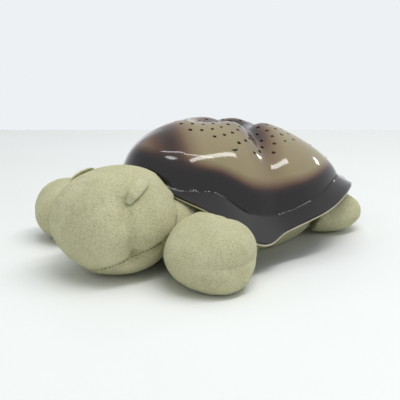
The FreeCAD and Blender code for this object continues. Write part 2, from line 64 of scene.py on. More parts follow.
# Moulded shell, by the solid's own formula. The outline, skirt, dome front, grooves and holes were
# fitted to the photo, so their values differ from the solid's
SHELL_ANGLES = np.array((0, 25, 55, 90, 112, 126, 143, 160, 180), float)
SHELL_RADII = np.array((131, 108, 100, 99, 102, 123, 119, 113, 120)) * MM
BRIM_HEIGHTS = np.array((31, 37, 42, 34, 26, 26, 48, 56, 67)) * MM
SKIRT_WIDTHS = np.array((17, 17, 16, 16, 19, 33, 24, 8, 6)) * MM
SKIRT_RISES = np.array((14, 15, 17, 15, 16, 18, 13, 11, 12)) * MM
SHELL_WALL = 2.4 * MM
SKIRT_BLEND = 2.0 * MM
SKIRT_TAIL = 8.0 * MM
DOME_HEIGHT = 108.5 * MM
DOME_LEAN = 0.15
DOME_POWER = 1.65
DOME_FULLNESS = 0.30
DOME_SINK = 4.0 * MM
DOME_SPREAD = 3.0 * MM
DOME_FALL = 40 * MM
FULLNESS_REACH = 90 * MM
SPINE_DEPTH = 6.5 * MM
SPINE_WIDTH = 12.0 * MM
SPINE_FRONT = -62.0 * MM
SPINE_BACK = 95.0 * MM
SPINE_FRONT_FADE = 25 * MM
SPINE_BACK_FADE = 30 * MM
CROSS_DEPTH = 7.0 * MM
CROSS_WIDTH = 12.0 * MM
CROSS_Y = 3.0 * MM
CROSS_SWEEP = -0.43
CROSS_START = -8 * MM
CROSS_START_FADE = 18 * MM
CROSS_END = 85 * MM
CROSS_END_FADE = 50 * MM
FRONT_DEPTH = 1.2 * MM
FRONT_WIDTH = 12.0 * MM
FRONT_Y = -84.0 * MM
FRONT_SWEEP = 0.5
FRONT_END = 75 * MM
FRONT_END_FADE = 20 * MM
HOLE_COUNT = 120
HOLE_FIELD = (58 * MM, 62 * MM)
HOLE_CENTRE_Y = -12 * MM
HOLE_SMALL_R = 1.35 * MM
HOLE_STEP_R = 0.12 * MM
HOLE_LARGE_R = 2.2 * MM
HOLE_REACH = 6 * MM
STAR_EVERY = 3
GOLDEN_ANGLE = 137.508
LAMP_HEIGHT = 36 * MM
PAINT_SHADOW = 0.80
PAINT_SPREAD = 1.6
PAINT_FADE = 7 * MM
PAINT_INSET = 1 * MM
# Painted shade on the front lobe and towards the tail: how much each darkens the paint, where the tail's
# starts and how far it fades in
FRONT_PAINTED_SHADE = 0.35
TAIL_PAINTED_SHADE = 0.55
TAIL_SHADE_Y = 45 * MM
TAIL_SHADE_FADE = 50 * MM
BOSS_SPOTS = ((46 * MM, -52 * MM), (38 * MM, 48 * MM))
BOSS_R = 4.5 * MM
BOSS_CLEAR = 3 * MM
BOSS_BELOW_TRAY = 6 * MM
BUTTON_TILT = 46.0
BUTTON_CLEAR = 0.3 * MM
BUTTON_R = 4.0 * MM
BUTTON_REACH = 12 * MM
LEAST_UPWARD = 0.45


def srgb(r, g, b, alpha=1.0):
    """A colour given as it looks on screen, 0 to 255, as scene-linear."""
    def lin(c):
        c = c / 255
        return c / 12.92 if c <= 0.04045 else ((c + 0.055) / 1.055) ** 2.4
    return (lin(r), lin(g), lin(b), alpha)


# Shell surface

def round_value(angle, values):
    """Even periodic cubic through the values at SHELL_ANGLES, from tail (0) to neck (180)."""
    a = np.abs((angle + 180) % 360 - 180)
    i = np.clip(np.searchsorted(SHELL_ANGLES, a, side="left") - 1, 0, len(SHELL_ANGLES) - 2)
    slopes = np.zeros(len(values))
    slopes[1:-1] = (values[2:] - values[:-2]) / (SHELL_ANGLES[2:] - SHELL_ANGLES[:-2])
    span = SHELL_ANGLES[i + 1] - SHELL_ANGLES[i]
    t = (a - SHELL_ANGLES[i]) / span
    ends = (2 * t ** 3 - 3 * t ** 2 + 1) * values[i] + (3 * t ** 2 - 2 * t ** 3) * values[i + 1]
    return ends + span * ((t ** 3 - 2 * t ** 2 + t) * slopes[i] + (t ** 3 - t ** 2) * slopes[i + 1])


def limit(value):
    """The value held between 0 and 1."""
    return np.clip(value, 0, 1)


def grooves(x, y):
    """Each groove as its depth, how far x, y lies from its line in widths, and how whole it is there."""
    across = np.abs(x)
    spine = limit((y - SPINE_FRONT) / SPINE_FRONT_FADE) * limit((SPINE_BACK - y) / SPINE_BACK_FADE)
    cross = (limit((across - CROSS_START) / CROSS_START_FADE)
             * limit((CROSS_END - across) / CROSS_END_FADE))
    front = limit((FRONT_END - across) / FRONT_END_FADE)
    return ((SPINE_DEPTH, x / SPINE_WIDTH, spine),
            (CROSS_DEPTH, (y - CROSS_Y - CROSS_SWEEP * across) / CROSS_WIDTH, cross),
            (FRONT_DEPTH, (y - FRONT_Y + FRONT_SWEEP * across) / FRONT_WIDTH, front))


def shell_parts(x, y):
    """Heights of the skirt and of the dome at x, y in the shell frame."""
    angle = np.degrees(np.arctan2(x, y))
    way = np.hypot(x, y)
    radius = round_value(angle, SHELL_RADII)
    brim = round_value(angle, BRIM_HEIGHTS)
    width = round_value(angle, SKIRT_WIDTHS)
    rise = round_value(angle, SKIRT_RISES)
    past = np.maximum((radius - way - width) / SKIRT_TAIL, 0)
    slope = brim + rise * np.maximum((radius - way) / width, -1)
    skirt = np.where(past > 0, brim + rise + rise / width * SKIRT_TAIL * (1 - np.exp(-past)), slope)
    ratio = way / (radius - width + DOME_SPREAD)
    foot = brim + rise - DOME_SINK
    power = DOME_POWER + DOME_FULLNESS * limit(-y / FULLNESS_REACH)
    swell = np.maximum(1 - np.minimum(ratio, 1) ** power, 0) ** (1 / power)
    dome = foot + (DOME_HEIGHT - DOME_LEAN * y - foot) * swell - DOME_FALL * np.maximum(ratio - 1, 0)
    for depth, off, whole in grooves(x, y):
        dome = dome - depth * np.exp(-off ** 2) * whole
    return skirt, dome


def shell_height(x, y):
    """Outer height of the shell: the skirt and the dome, run smoothly together."""
    skirt, dome = shell_parts(x, y)
    top = np.maximum(skirt, dome)
    return top + SKIRT_BLEND * np.log1p(np.exp((np.minimum(skirt, dome) - top) / SKIRT_BLEND))


def shell_normal(x, y):
    """Outward direction of the shell's outer face, by small steps of its height."""
    step = 0.4 * MM
    gx = (shell_height(x + step, y) - shell_height(x - step, y)) / (2 * step)
    gy = (shell_height(x, y + step) - shell_height(x, y - step)) / (2 * step)
    n = np.stack([-gx, -gy, np.ones_like(gx)], -1)
    return n / np.linalg.norm(n, axis=-1, keepdims=True)


def wall_drop(normal):
    """How far straight below its outer face the shell's inner face lies."""
    return SHELL_WALL / np.maximum(normal[..., 2], LEAST_UPWARD)


# Node helpers

class Nodes:
    """A short way to write a material's node tree."""

    def __init__(self, name):
        self.mat = bpy.data.materials.new(name)
        self.mat.use_nodes = True
        self.tree = self.mat.node_tree
        self.tree.nodes.clear()
        self.out = self.add("ShaderNodeOutputMaterial")
        self.shader = self.add("ShaderNodeBsdfPrincipled")
        self.link(self.shader.outputs[0], self.out.inputs["Surface"])

    def add(self, kind, **values):
        node = self.tree.nodes.new(kind)
        for key, value in values.items():
            setattr(node, key, value)
        return node

    def link(self, a, b):
        self.tree.links.new(a, b)

    def put(self, **values):
        for key, value in values.items():
            self.shader.inputs[key.replace("_", " ")].default_value = value

    def noise(self, scale, detail=3.0, rough=0.55, coords=None):
        node = self.add("ShaderNodeTexNoise")
        node.inputs["Scale"].default_value = scale
        node.inputs["Detail"].default_value = detail
        node.inputs["Roughness"].default_value = rough
        if coords is None:
            coords = self.add("ShaderNodeTexCoord").outputs["Object"]
        self.link(coords, node.inputs["Vector"])
        return node.outputs["Fac"]

    def ramp(self, value, stops):
        node = self.add("ShaderNodeValToRGB")
        while len(node.color_ramp.elements) < len(stops):
            node.color_ramp.elements.new(0.5)
        for element, (place, colour) in zip(node.color_ramp.elements, stops):
            element.position = place
            element.color = colour
        self.link(value, node.inputs["Fac"])
        return node.outputs["Color"]

    def mix(self, amount, a, b):
        node = self.add("ShaderNodeMix", data_type="RGBA")
        for value, at in ((amount, 0), (a, 6), (b, 7)):
            if isinstance(value, (tuple, float)):
                node.inputs[at].default_value = value
            else:
                self.link(value, node.inputs[at])
        return node.outputs[2]

    def bump(self, height, strength, distance):
        node = self.add("ShaderNodeBump")
        node.inputs["Strength"].default_value = strength
        node.inputs["Distance"].default_value = distance
        self.link(height, node.inputs["Height"])
        self.link(node.outputs[0], self.shader.inputs["Normal"])

    def rough(self, value, low, high):
        node = self.add("ShaderNodeMapRange")
        node.inputs["To Min"].default_value = low
        node.inputs["To Max"].default_value = high
        self.link(value, node.inputs["Value"])
        self.link(node.outputs[0], self.shader.inputs["Roughness"])


def shell_paint():
    """Airbrushed gloss paint: tan at the lobes, brown and near black towards the grooves."""
    n = Nodes("shell_paint")
    shade = n.add("ShaderNodeAttribute", attribute_name="shade")
    cloud = n.noise(14.0, 2.0)
    drift = n.add("ShaderNodeMath", operation="MULTIPLY_ADD")
    n.link(cloud, drift.inputs[0])
    drift.inputs[1].default_value = 0.10
    n.link(shade.outputs["Fac"], drift.inputs[2])
    colour = n.ramp(drift.outputs[0], [
        (0.05, srgb(24, 17, 18)), (0.22, srgb(46, 30, 28)), (0.40, srgb(90, 65, 50)),
        (0.60, srgb(118, 99, 75)), (0.95, srgb(141, 128, 96))])
    n.link(colour, n.shader.inputs["Base Color"])
    n.put(Roughness=0.08, IOR=1.48)
    n.bump(n.noise(25.0, 1.0), 0.01, 0.001)
    return n.mat


def bare_edge():
    """The unpainted cream edge of the moulding."""
    n = Nodes("bare_edge")
    n.link(n.ramp(n.noise(90.0), [(0.3, srgb(188, 178, 150)), (0.7, srgb(206, 197, 170))]),
           n.shader.inputs["Base Color"])
    n.put(Roughness=0.35)
    return n.mat


def velour(name, light, dark):
    """Short-pile velour with a fine speckle and a soft sheen."""
    n = Nodes(name)
    coords = n.add("ShaderNodeTexCoord").outputs["Object"]
    patch = n.noise(38.0, 4.0, 0.6, coords)
    pile = n.noise(850.0, 3.0, 0.75, coords)
    tufts = n.noise(1900.0, 2.0, 0.6, coords)
    base = n.ramp(patch, [(0.34, dark), (0.66, light)])
    fine = n.ramp(pile, [(0.34, tuple(c * 0.42 for c in dark[:3]) + (1,)), (0.56, light)])
    n.link(n.mix(0.45, base, fine), n.shader.inputs["Base Color"])
    n.put(Roughness=0.95, Sheen_Weight=0.35, Sheen_Roughness=0.45, Sheen_Tint=srgb(240, 238, 214),
          Specular_IOR_Level=0.15)
    n.bump(n.mix(0.5, pile, tufts), 0.85, 0.0018)
    return n.mat


def moulded(name, colour, rough=0.45, grain=700.0):
    """Plastic with a fine moulded grain."""
    n = Nodes(name)
    lighter = tuple(min(1.0, c * 1.25 + 0.004) for c in colour[:3]) + (1,)
    fleck = n.noise(grain, 2.0)
    n.link(n.ramp(fleck, [(0.3, colour), (0.7, lighter)]), n.shader.inputs["Base Color"])
    n.rough(n.noise(45.0), rough * 0.85, min(1.0, rough * 1.2))
    n.bump(fleck, 0.12, 0.0004)
    return n.mat


def metal(name, colour):
    """Bare metal with faint streaks."""
    n = Nodes(name)
    streak = n.noise(260.0, 4.0)
    n.link(n.ramp(streak, [(0.3, colour), (0.8, tuple(c * 0.8 for c in colour[:3]) + (1,))]),
           n.shader.inputs["Base Color"])
    n.put(Metallic=1.0)
    n.rough(streak, 0.22, 0.42)
    return n.mat


def clear_lens(name, colour):
    """Tinted clear resin of a lamp."""
    n = Nodes(name)
    n.link(n.ramp(n.noise(200.0), [(0.2, colour), (0.9, tuple(min(1, c * 1.3) for c in colour[:3]) + (1,))]),
           n.shader.inputs["Base Color"])
    n.put(Roughness=0.06, Transmission_Weight=0.75, IOR=1.5)
    return n.mat


def hook_tape():
    """Hook-and-loop tape with its small cells."""
    n = Nodes("hook_tape")
    cells = n.add("ShaderNodeTexVoronoi")
    cells.inputs["Scale"].default_value = 700.0
    n.link(n.add("ShaderNodeTexCoord").outputs["Object"], cells.inputs["Vector"])
    n.link(n.ramp(cells.outputs["Distance"], [(0.1, srgb(178, 172, 138)), (0.7, srgb(120, 115, 88))]),
           n.shader.inputs["Base Color"])
    n.put(Roughness=0.9)
    n.bump(cells.outputs["Distance"], 0.6, 0.0006)
    return n.mat


VELOUR_LIGHT = srgb(222, 218, 178)
VELOUR_DARK = srgb(192, 189, 148)
velour_mat = velour("velour", VELOUR_LIGHT, VELOUR_DARK)
lid_mat = velour("lid_velour", srgb(226, 223, 184), srgb(200, 198, 158))
thread_mat = moulded("seam_thread", srgb(92, 84, 58), 0.8)
paint_mat = shell_paint()
edge_mat = bare_edge()

CAD_FINISHES = {
    "tray_plastic": moulded("tray_plastic", srgb(34, 30, 28)),
    "button_green": moulded("button_green", srgb(70, 128, 74), 0.55),
    "button_blue": moulded("button_blue", srgb(58, 88, 150), 0.55),
    "button_amber": moulded("button_amber", srgb(150, 106, 52), 0.55),
    "switch_plastic": moulded("switch_plastic", srgb(34, 34, 34)),
    "circuit_board": moulded("circuit_board", srgb(26, 92, 50), 0.3),
    "cell_jacket": moulded("cell_jacket", srgb(58, 58, 64), 0.3, 120.0),
    "contact_metal": metal("contact_metal", srgb(214, 210, 200)),
    "screw_steel": metal("screw_steel", srgb(190, 190, 188)),
    "led_blue": clear_lens("led_blue", srgb(120, 150, 235)),
    "led_green": clear_lens("led_green", srgb(130, 225, 140)),
    "led_amber": clear_lens("led_amber", srgb(240, 180, 90)),
    "lead_jacket": moulded("lead_jacket", srgb(140, 36, 30), 0.5),
    "hook_tape": hook_tape(),
}


def finish_cad_nodes():
    """Give each node that stays in view its finished material."""
    for part in frame["record"]["subparts"]:
        mat = CAD_FINISHES.get(part["material_slot"])
        if mat is None:
            continue
        data = bpy.data.objects[frame["nodes"][part["node"]].name].data
        data.materials.clear()
        data.materials.append(mat)
        for poly in data.polygons:
            poly.material_index = 0


# Shell mesh

def add_object(name, data, *mats):
    """A new object in the scene with its materials."""
    obj = bpy.data.objects.new(name, data)
    scene.collection.objects.link(obj)
    for mat in mats:
        data.materials.append(mat)
    return obj


def mesh_of(name, verts, faces):
    """A mesh from points and faces."""
    data = bpy.data.meshes.new(name)
    data.from_pydata([tuple(v) for v in verts], [], faces)
    data.update()
    return data


def hole_cutter():
    """All the light holes and button holes as one mesh of prisms through the wall."""
    verts, faces = [], []

    def prism(middle, aim, outline, reach):
        aim = Vector(aim).normalized()
        side = aim.cross(Vector((0, 1, 0))).normalized()
        other = aim.cross(side)
        start = len(verts)
        count = len(outline)
        for end in (-reach, reach):
            for radius, turn in outline:
                verts.append(middle + aim * end + side * (radius * math.cos(turn))
                             + other * (radius * math.sin(turn)))
        faces.append([start + k for k in range(count)][::-1])
        faces.append([start + count + k for k in range(count)])
        for k in range(count):
            after = (k + 1) % count
            faces.append([start + k, start + after, start + count + after, start + count + k])

    lamp = Vector((0, HOLE_CENTRE_Y, LAMP_HEIGHT))
    for n in range(HOLE_COUNT):
        share = math.sqrt((n + 0.5) / HOLE_COUNT)
        turn = math.radians(GOLDEN_ANGLE * n)
        x = HOLE_FIELD[0] * share * math.sin(turn)
        y = HOLE_CENTRE_Y + HOLE_FIELD[1] * share * math.cos(turn)
        if any(math.hypot(abs(x) - bx, y - by) < BOSS_R + BOSS_CLEAR for bx, by in BOSS_SPOTS):
            continue
        at = Vector((x, y, float(shell_height(np.array(x), np.array(y)))))
        if n % STAR_EVERY == 0:
            spin = math.radians(31 * n)
            outline = [(HOLE_LARGE_R * (1 if k % 2 == 0 else 0.5), spin + math.radians(36 * k))
                       for k in range(10)]
        else:
            r = HOLE_SMALL_R + HOLE_STEP_R * (n % 4)
            outline = [(r, math.radians(30 * k)) for k in range(12)]
        prism(at, at - lamp, outline, HOLE_REACH)
    tilt = math.radians(BUTTON_TILT)
    press = Vector((0, math.sin(tilt), math.cos(tilt)))
    for name in ("button_green", "button_blue", "button_amber"):
        low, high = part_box(name)
        at = (low + high) / 2 - Vector((0, SHELL_Y, 0))
        outline = [(BUTTON_R + BUTTON_CLEAR, math.radians(10 * k)) for k in range(36)]
        prism(at, press, outline, BUTTON_REACH)
    return mesh_of("hole_cutter", verts, faces)


def shell_shade(x, y):
    """How tan the airbrushed paint is: high at a lobe's middle, low in the grooves, 0 on the skirt; painted
    shade dims the front lobe and the tail end.
    """
    skirt, dome = shell_parts(x, y)
    angle = np.degrees(np.arctan2(x, y))
    foot = round_value(angle, SHELL_RADII) - round_value(angle, SKIRT_WIDTHS)
    shade = limit((foot - np.hypot(x, y) - PAINT_INSET) / PAINT_FADE) * (dome > skirt)
    for depth, off, whole in grooves(x, y):
        shade = shade * (1 - PAINT_SHADOW * np.exp(-(off / PAINT_SPREAD) ** 2) * whole)
    # Painted shade: the front lobe behind the head, seen at a grazing angle, has its paint dimmed
    in_front = limit((FRONT_Y - FRONT_SWEEP * np.abs(x) - y) / FRONT_WIDTH)
    # Painted shade: the paint on the rear lobes, seen at a grazing angle, is dimmed towards the tail
    behind = limit((y - TAIL_SHADE_Y) / TAIL_SHADE_FADE)
    return shade * (1 - FRONT_PAINTED_SHADE * in_front) * (1 - TAIL_PAINTED_SHADE * behind)


def build_shell():
    """The moulded shell: outer and inner face, brim edge, holes and screw posts."""
    turns, rings = 260, 120
    angle = np.linspace(0, 360, turns, endpoint=False)
    # Rings are closer together near the brim, where the skirt curves most
    share = 1 - (1 - np.linspace(0, 1, rings + 1)[1:]) ** 1.15
    a, s = np.meshgrid(angle, share)
    r = round_value(a, SHELL_RADII) * s
    x, y = r * np.sin(np.radians(a)), r * np.cos(np.radians(a))
    z = shell_height(x, y)
    drop = wall_drop(shell_normal(x, y))
    outer = np.stack([x, y, z], -1).reshape(-1, 3)
    inner = np.stack([x, y, z - drop], -1).reshape(-1, 3)
    bead_out = 1 + 0.3 * MM / r[-1]
    bead = np.stack([x[-1] * bead_out, y[-1] * bead_out, z[-1] - drop[-1] / 2], -1)
    zero = np.zeros(1)
    top = float(shell_height(zero, zero)[0])
    verts = np.vstack([outer, inner, bead, [[0, 0, top], [0, 0, top - SHELL_WALL]]])
    count = rings * turns
    apex, under = len(verts) - 2, len(verts) - 1
    faces, edge_faces = [], set()
    for k in range(turns):
        after = (k + 1) % turns
        faces.append([apex, after, k])
        faces.append([under, count + k, count + after])
        for j in range(rings - 1):
            p, q = j * turns, (j + 1) * turns
            faces.append([p + k, p + after, q + after, q + k])
            faces.append([count + p + after, count + p + k, count + q + k, count + q + after])
        last = (rings - 1) * turns
        rim = 2 * count
        faces.append([last + k, last + after, rim + after, rim + k])
        edge_faces.add(len(faces))
        faces.append([rim + k, rim + after, count + last + after, count + last + k])
    data = mesh_of("star_shell_moulding", verts, faces)
    shell = add_object("star_shell_moulding", data, paint_mat, edge_mat, CAD_FINISHES["tray_plastic"])
    for i, poly in enumerate(data.polygons):
        if i in edge_faces:
            poly.material_index = 1
        elif poly.normal.z < 0:
            poly.material_index = 2
    cutter = add_object("cutter", hole_cutter())
    cut = shell.modifiers.new("holes", "BOOLEAN")
    cut.object = cutter
    cut.operation = "DIFFERENCE"
    cut.solver = "EXACT"
    evaluated = shell.evaluated_get(bpy.context.evaluated_depsgraph_get())
    data = bpy.data.meshes.new_from_object(evaluated)
    shell.modifiers.clear()
    shell.data = data
    bpy.data.objects.remove(cutter)
    add_bosses(data)
    smooth_shell(data)
    data.transform(Matrix.Translation((0, SHELL_Y, 0)))
    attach(shell, "base")
    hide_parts("star_shell")
    return shell


def add_bosses(data):
    """The four screw posts moulded inside the shell."""
    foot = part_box("base_tray")[1].z - BOSS_BELOW_TRAY
    bm = bmesh.new()
    bm.from_mesh(data)
    for bx, by in BOSS_SPOTS:
        for side in (1, -1):
            top = float(shell_height(np.array(side * bx), np.array(by))) - SHELL_WALL
            made = bmesh.ops.create_cone(bm, segments=24, radius1=BOSS_R, radius2=BOSS_R, depth=top - foot,
                                         cap_ends=True)
            bmesh.ops.translate(bm, verts=made["verts"], vec=(side * bx, by, (top + foot) / 2))
            for face in {f for v in made["verts"] for f in v.link_faces}:
                face.material_index = 2
    bm.to_mesh(data)
    bm.free()


def smooth_shell(data):
    """Shade every point of the two faces by the true surface, and write the paint's shade."""
    co = np.array([v.co for v in data.vertices])
    normal = shell_normal(co[:, 0], co[:, 1])
    high = shell_height(co[:, 0], co[:, 1])
    drop = wall_drop(normal)
    on_outer = np.abs(co[:, 2] - high) < 0.25 * MM
    on_inner = np.abs(co[:, 2] - high + drop) < 0.25 * MM
    wanted = np.zeros((len(data.loops), 3))
    for poly in data.polygons:
        flat = np.array(poly.normal)
        poly.use_smooth = True
        for loop in poly.loop_indices:
            v = data.loops[loop].vertex_index
            if on_outer[v] and flat @ normal[v] > 0.8:
                wanted[loop] = normal[v]
            elif on_inner[v] and flat @ normal[v] < -0.8:
                wanted[loop] = -normal[v]
            else:
                wanted[loop] = flat
    data.normals_split_custom_set([tuple(n) for n in wanted])
    shade = data.attributes.new("shade", "FLOAT", "POINT")
    shade.data.foreach_set("value", shell_shade(co[:, 0], co[:, 1]).astype(np.float32))


# Stuffed pieces
CORNER_FILL = 0.40
CLOTH_FRAMES = 24
BODY_NARROWING = 0.80
REAR_TUCK = 8 * MM
TUCK_GAP = 0.8 * MM


def copy_of(node, name, mat):
    """A copy of the solid's mesh in the given finish, ready to be worked on."""
    data = bpy.data.objects[frame["nodes"][node].name].data.copy()
    data.materials.clear()
    return add_object(name, data, mat)


def apply_modifiers(obj):
    """Bake the object's modifiers and keep its one material."""
    evaluated = obj.evaluated_get(bpy.context.evaluated_depsgraph_get())
    data = bpy.data.meshes.new_from_object(evaluated)
    mats = list(obj.data.materials)
    obj.modifiers.clear()
    obj.data = data
    data.materials.clear()
    for mat in mats[:1]:
        data.materials.append(mat)
    for poly in data.polygons:
        poly.material_index = 0


def remesh(obj, voxel, smooth=4):
    """An even mesh for the cloth to move on."""
    mod = obj.modifiers.new("remesh", "REMESH")
    mod.mode = "VOXEL"
    mod.voxel_size = voxel
    ease = obj.modifiers.new("ease", "SMOOTH")
    ease.iterations = smooth
    apply_modifiers(obj)


def points(obj):
    """The mesh's points as an array."""
    co = np.empty(len(obj.data.vertices) * 3)
    obj.data.vertices.foreach_get("co", co)
    return co.reshape(-1, 3)


def set_points(obj, co):
    """Write the points back."""
    obj.data.vertices.foreach_set("co", co.ravel())
    obj.data.update()


def stuff(obj, pressure, cap, slack):
    """Fill the cover from inside with cloth simulation, and keep each point within cap of its solid.

    The mean swelling is taken out, so that the cover keeps about the solid's size.
    """
    before = points(obj)
    cloth = obj.modifiers.new("cloth", "CLOTH")
    s = cloth.settings
    s.quality = 5
    s.mass = 0.25
    s.tension_stiffness = 12
    s.compression_stiffness = 12
    s.bending_stiffness = 0.12
    s.use_pressure = True
    s.uniform_pressure_force = pressure
    s.shrink_min = -slack
    s.effector_weights.gravity = 0
    cloth.point_cache.frame_start = 1
    cloth.point_cache.frame_end = CLOTH_FRAMES
    for frame_number in range(1, CLOTH_FRAMES + 1):
        scene.frame_set(frame_number)
        obj.evaluated_get(bpy.context.evaluated_depsgraph_get())
    evaluated = obj.evaluated_get(bpy.context.evaluated_depsgraph_get())
    after = np.empty(len(before) * 3)
    evaluated.data.vertices.foreach_get("co", after)
    move = after.reshape(-1, 3) - before
    normals = np.empty(len(before) * 3)
    obj.data.vertices.foreach_get("normal", normals)
    normals = normals.reshape(-1, 3)
    move -= normals * np.einsum("ij,ij->i", move, normals).mean()
    size = np.linalg.norm(move, axis=1, keepdims=True)
    move *= np.minimum(1, cap / np.maximum(size, 1e-9))
    obj.modifiers.clear()
    after = before + move
    after[:, 2] = np.maximum(after[:, 2], 0.2 * MM)
    set_points(obj, after)
    scene.frame_set(1)


def subdivide(obj, levels=1):
    """Make the mesh finer and smooth."""
    mod = obj.modifiers.new("fine", "SUBSURF")
    mod.levels = mod.render_levels = levels
    apply_modifiers(obj)
    for poly in obj.data.polygons:
        poly.use_smooth = True


def line_distance(co, route):
    """Least distance from each point to a polyline."""
    best = np.full(len(co), 1e9)
    for a, b in zip(route, route[1:]):
        ab = b - a
        t = np.clip(((co - a) @ ab) / (ab @ ab), 0, 1)
        best = np.minimum(best, np.linalg.norm(co - (a + t[:, None] * ab), axis=1))
    return best


def groove(obj, route, depth, width, centre):
    """Pull the cover in along a seam."""
    co = points(obj)
    away = co - centre
    away /= np.linalg.norm(away, axis=1, keepdims=True)
    near = np.exp(-(line_distance(co, route) / width) ** 2)
    set_points(obj, co - away * (depth * near)[:, None])


def stuffed_piece(node, voxel=4.5 * MM, pressure=4.0, cap=5 * MM, slack=0.04, mat=None):
    """A cover made from the solid's own form, stuffed and smoothed."""
    obj = copy_of(node, node + "_cover", mat or velour_mat)
    remesh(obj, voxel)
    stuff(obj, pressure, cap, slack)
    subdivide(obj)
    return obj


def tuck_under(obj):
    """Press a cover down to just below the shell's inner face wherever the shell lies over it."""
    co = points(obj)
    x, y = co[:, 0], co[:, 1] - SHELL_Y
    covered = np.hypot(x, y) < round_value(np.degrees(np.arctan2(x, y)), SHELL_RADII) + TUCK_GAP
    ceiling = shell_height(x, y) - wall_drop(shell_normal(x, y)) - TUCK_GAP
    co[:, 2] = np.where(covered, np.minimum(co[:, 2], ceiling), co[:, 2])
    set_points(obj, co)


def square_off(obj):
    """Fill out the four corners of a flipper's outline, as its flat-cut panels do."""
    co = points(obj)
    low, high = co.min(0), co.max(0)
    middle, half = (low + high) / 2, (high - low) / 2
    rel = (co - middle) / half
    corner = np.abs(rel[:, 0] * rel[:, 2])
    co[:, [0, 2]] += (rel[:, [0, 2]] * half[[0, 2]]) * (CORNER_FILL * np.minimum(corner, 0.5))[:, None]
    for axis in (0, 2):
        co[:, axis] = np.clip(co[:, axis], low[axis] + 0.2 * MM, high[axis] + 1.0 * MM)
    set_points(obj, co)


def hand_in(obj, node):
    """Hang a padded cover on the base body and hide the solid that it stands for."""
    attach(obj, "base")
    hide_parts(node)


SOFT_NODES = ("plush_body", "neck", "front_flipper_left", "front_flipper_right",
              "rear_flipper_left", "rear_flipper_right", "tail")


def build_soft_pieces():
    """Every stuffed piece but the head, some with a change of form, tucked under the shell."""
    for node in SOFT_NODES:
        cover = stuffed_piece(node)
        co = points(cover)
        if node.startswith("front_flipper"):
            square_off(cover)
        elif node.startswith("rear_flipper"):
            co[:, 1] -= REAR_TUCK
            set_points(cover, co)
        elif node == "plush_body":
            co[:, 0] *= BODY_NARROWING
            set_points(cover, co)
        tuck_under(cover)
        hand_in(cover, node)


# Head: directions are given as angle from straight ahead towards the turtle's left, and angle up
HEAD_TURN = math.radians(6.0)
HEAD_CENTRE = np.array((10, -143, 41)) * MM + np.array((0, SHELL_Y, 0))
HEAD_HALF = np.array((51, 52, 41.5)) * MM
AHEAD = np.array((math.sin(HEAD_TURN), -math.cos(HEAD_TURN), 0))
LEFT = np.array((math.cos(HEAD_TURN), math.sin(HEAD_TURN), 0))
UP = np.array((0, 0, 1.0))


def head_point(azimuth, elevation):
    """Where a direction from the head's middle meets its plain egg form."""
    a, e = math.radians(azimuth), math.radians(elevation)
    parts = (math.cos(e) * math.sin(a), math.cos(e) * math.cos(a), math.sin(e))
    size = 1 / math.sqrt(sum((p / h) ** 2 for p, h in zip(parts, HEAD_HALF)))
    direction = LEFT * parts[0] + AHEAD * parts[1] + UP * parts[2]
    return HEAD_CENTRE + direction * size


def on_cover(cover, point):
    """The point of the stuffed head's surface in the direction of point from its middle."""
    aim = Vector(point - HEAD_CENTRE).normalized()
    hit, place, _, _ = cover.ray_cast(Vector(HEAD_CENTRE), aim)
    return np.array(place) if hit else point


# Seams on the head, each as directions, and how deep and wide the cover is drawn in along it
MOUTH = ((98, -14), (85, -17), (63, -22), (51, -30), (33, -40), (12, -46))
CHEEK = ((57, 30), (55, 12), (59, -6), (66, -20))
CROWN = tuple((0, elevation) for elevation in range(-30, 120, 10))
MOUTH_DRAW = (3.2 * MM, 3.2 * MM)
CHEEK_DRAW = (6.5 * MM, 6.0 * MM)
CROWN_DRAW = (0.8 * MM, 1.4 * MM)
CHIN_DRAW = 3.5 * MM
CHIN_UP = -26 * MM
CHIN_TALL = 13 * MM
CHIN_AHEAD = 40 * MM
STITCH_SINK = 3.1 * MM
STITCH_PITCH = 3.4 * MM
THREAD_R = 0.28 * MM


def mirrored(cover, route, side):
    """A route on the cover, on the turtle's left (1) or right (-1)."""
    return np.array([on_cover(cover, head_point(side * a, e)) for a, e in route])


def build_head():
    """The head: stuffed, with its seams, cheeks and stitched mouth."""
    head = stuffed_piece("head", 3.6 * MM, 3.0, 2.5 * MM, 0.05)
    co = points(head)
    rel = co - HEAD_CENTRE
    ahead, up = rel @ AHEAD, rel @ UP
    # The chin draws back under the mouth
    chin = np.exp(-((up - CHIN_UP) / CHIN_TALL) ** 2) * limit(ahead / CHIN_AHEAD)
    co -= AHEAD * (CHIN_DRAW * chin)[:, None]
    set_points(head, co)
    mouth = np.vstack([mirrored(head, MOUTH, 1), mirrored(head, MOUTH, -1)[::-1]])
    groove(head, mouth, *MOUTH_DRAW, HEAD_CENTRE)
    for side in (1, -1):
        groove(head, mirrored(head, CHEEK, side), *CHEEK_DRAW, HEAD_CENTRE)
    groove(head, mirrored(head, CROWN, 1), *CROWN_DRAW, HEAD_CENTRE)
    tuck_under(head)
    hand_in(head, "head")
    stitches("mouth_stitches", mouth, STITCH_SINK, STITCH_PITCH)
    return head


